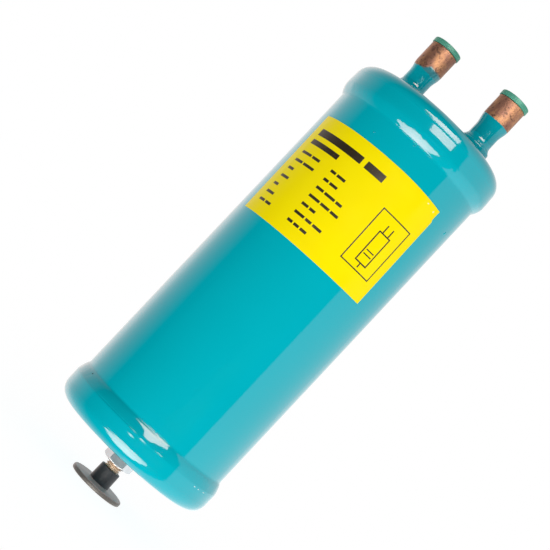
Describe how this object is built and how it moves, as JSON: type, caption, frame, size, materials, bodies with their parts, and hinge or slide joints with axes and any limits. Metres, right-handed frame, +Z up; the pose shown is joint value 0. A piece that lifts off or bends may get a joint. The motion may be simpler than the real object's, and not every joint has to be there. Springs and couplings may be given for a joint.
{
  "type": "suction line accumulator",
  "caption": "Upright welded steel vessel with swaged copper pipe sockets on its domed top and a threaded mounting stud below, which holds back liquid refrigerant in a suction line.",
  "frame": {"origin": "middle of the underside of the thread protector, on the vessel's axis", "axes": "+Z up along the vessel to the connections, +X from the inlet to the outlet, the label on the -Y side"},
  "size_m": [0.107, 0.107, 0.3257],
  "materials": {
    "paint": "gloss",
    "copper": "tarnished copper",
    "bare_steel": "satin",
    "bright_zinc": "bright zinc plate",
    "yellow_zinc": "yellow zinc plate",
    "green_plastic": "satin",
    "black_plastic": "matte",
    "label_film": "satin"
  },
  "bodies": {
    "root": {"shell_tube": "paint", "top_head": "paint", "bottom_head": "paint", "top_seam_weld": "paint", "bottom_seam_weld": "paint", "inlet_stub": "copper", "outlet_stub": "copper", "inlet_braze": "paint", "outlet_braze": "paint", "inlet_deflector": "bare_steel", "u_tube": "bare_steel", "oil_screen": "bright_zinc", "leg_brace": "bare_steel", "mounting_stud": "yellow_zinc", "stud_weld": "bare_steel", "hex_nut": "bright_zinc", "thread_protector": "black_plastic", "inlet_plug": "green_plastic", "outlet_plug": "green_plastic", "label": "label_film"}
  },
  "joints": []
}
